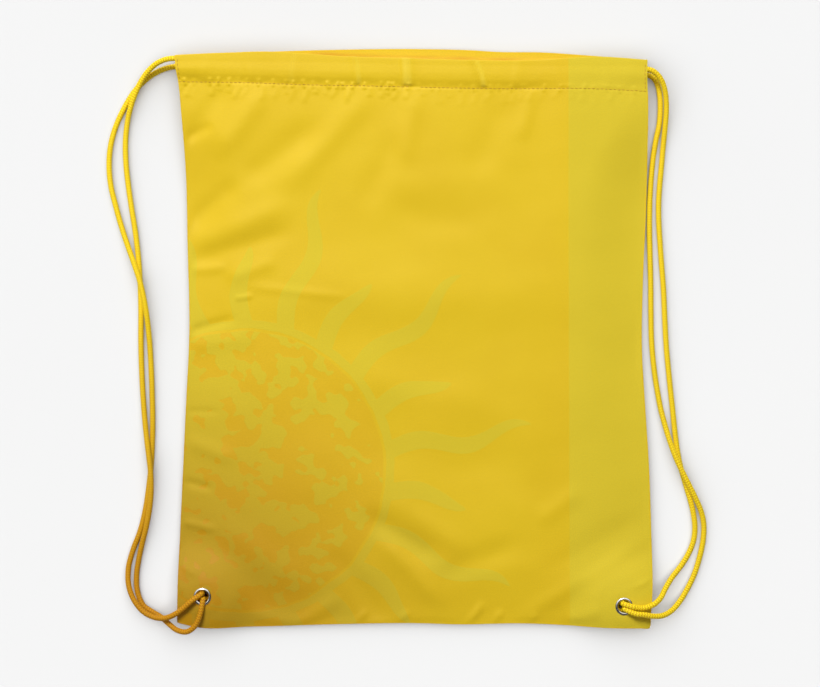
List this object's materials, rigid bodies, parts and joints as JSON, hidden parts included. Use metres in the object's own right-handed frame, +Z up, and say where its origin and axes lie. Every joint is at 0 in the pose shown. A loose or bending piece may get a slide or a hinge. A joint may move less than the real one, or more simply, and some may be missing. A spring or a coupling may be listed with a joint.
{
  "type": "drawstring backpack",
  "caption": "Flat drawstring backpack: a yellow cloth sack with a cased mouth, braided cords that double as shoulder straps, and nickel eyelets in its bottom corners.",
  "frame": {"origin": "under the middle of the bag, on the surface that it lies on", "axes": "+Y towards the mouth, +X to the right of the front, +Z up out of the front"},
  "size_m": [0.4384, 0.4243, 0.0188],
  "materials": {
    "cloth": "coated plain-weave polyester, faint sheen",
    "thread": "spun polyester sewing thread",
    "cord": "braided polyester cord",
    "nickel": "nickel-plated brass, polished"
  },
  "bodies": {
    "back": {"back_panel": "cloth", "back_casing": "cloth", "back_hem_thread": "thread", "front_corner_left": "cloth", "front_corner_right": "cloth", "side_seam_left": "thread", "side_seam_right": "thread", "eyelet_left": "nickel", "eyelet_right": "nickel", "washer_left": "nickel", "washer_right": "nickel", "left_knot": "cord", "right_knot": "cord", "left_cord_bight": "cord", "right_cord_bight": "cord", "left_cord_front_strand": "cord", "left_cord_back_strand": "cord", "right_cord_front_strand": "cord", "right_cord_back_strand": "cord"},
    "front": {"front_panel": "cloth", "front_casing": "cloth", "front_hem_thread": "thread"},
    "left_front_run": {"left_cord_front_run": "cord"},
    "left_back_run": {"left_cord_back_run": "cord"},
    "right_front_run": {"right_cord_front_run": "cord"},
    "right_back_run": {"right_cord_back_run": "cord"}
  },
  "joints": [
    {"name": "mouth_open", "type": "hinge", "parent": "back", "child": "front", "pos_m": [0, -0.21, 0.001], "axis": [1, 0, 0], "range_deg": [0, 8], "deforming": ["left_cord_front_run", "right_cord_front_run"]},
    {"name": "left_cord_front_slide", "type": "slide", "parent": "back", "child": "left_front_run", "axis": [1, 0, 0], "range_m": [-0.012, 0.012], "deforming": ["left_cord_front_strand", "left_cord_bight"]},
    {"name": "left_cord_back_slide", "type": "slide", "parent": "back", "child": "left_back_run", "axis": [1, 0, 0], "range_m": [-0.012, 0.012], "deforming": ["left_cord_back_strand"]},
    {"name": "right_cord_front_slide", "type": "slide", "parent": "back", "child": "right_front_run", "axis": [1, 0, 0], "range_m": [-0.012, 0.012], "deforming": ["right_cord_front_strand", "right_cord_bight"]},
    {"name": "right_cord_back_slide", "type": "slide", "parent": "back", "child": "right_back_run", "axis": [1, 0, 0], "range_m": [-0.012, 0.012], "deforming": ["right_cord_back_strand"]}
  ],
  "couplings": [
    {"joint": "left_cord_back_slide", "follows": "left_cord_front_slide", "ratio": -1},
    {"joint": "right_cord_back_slide", "follows": "right_cord_front_slide", "ratio": -1}
  ]
}
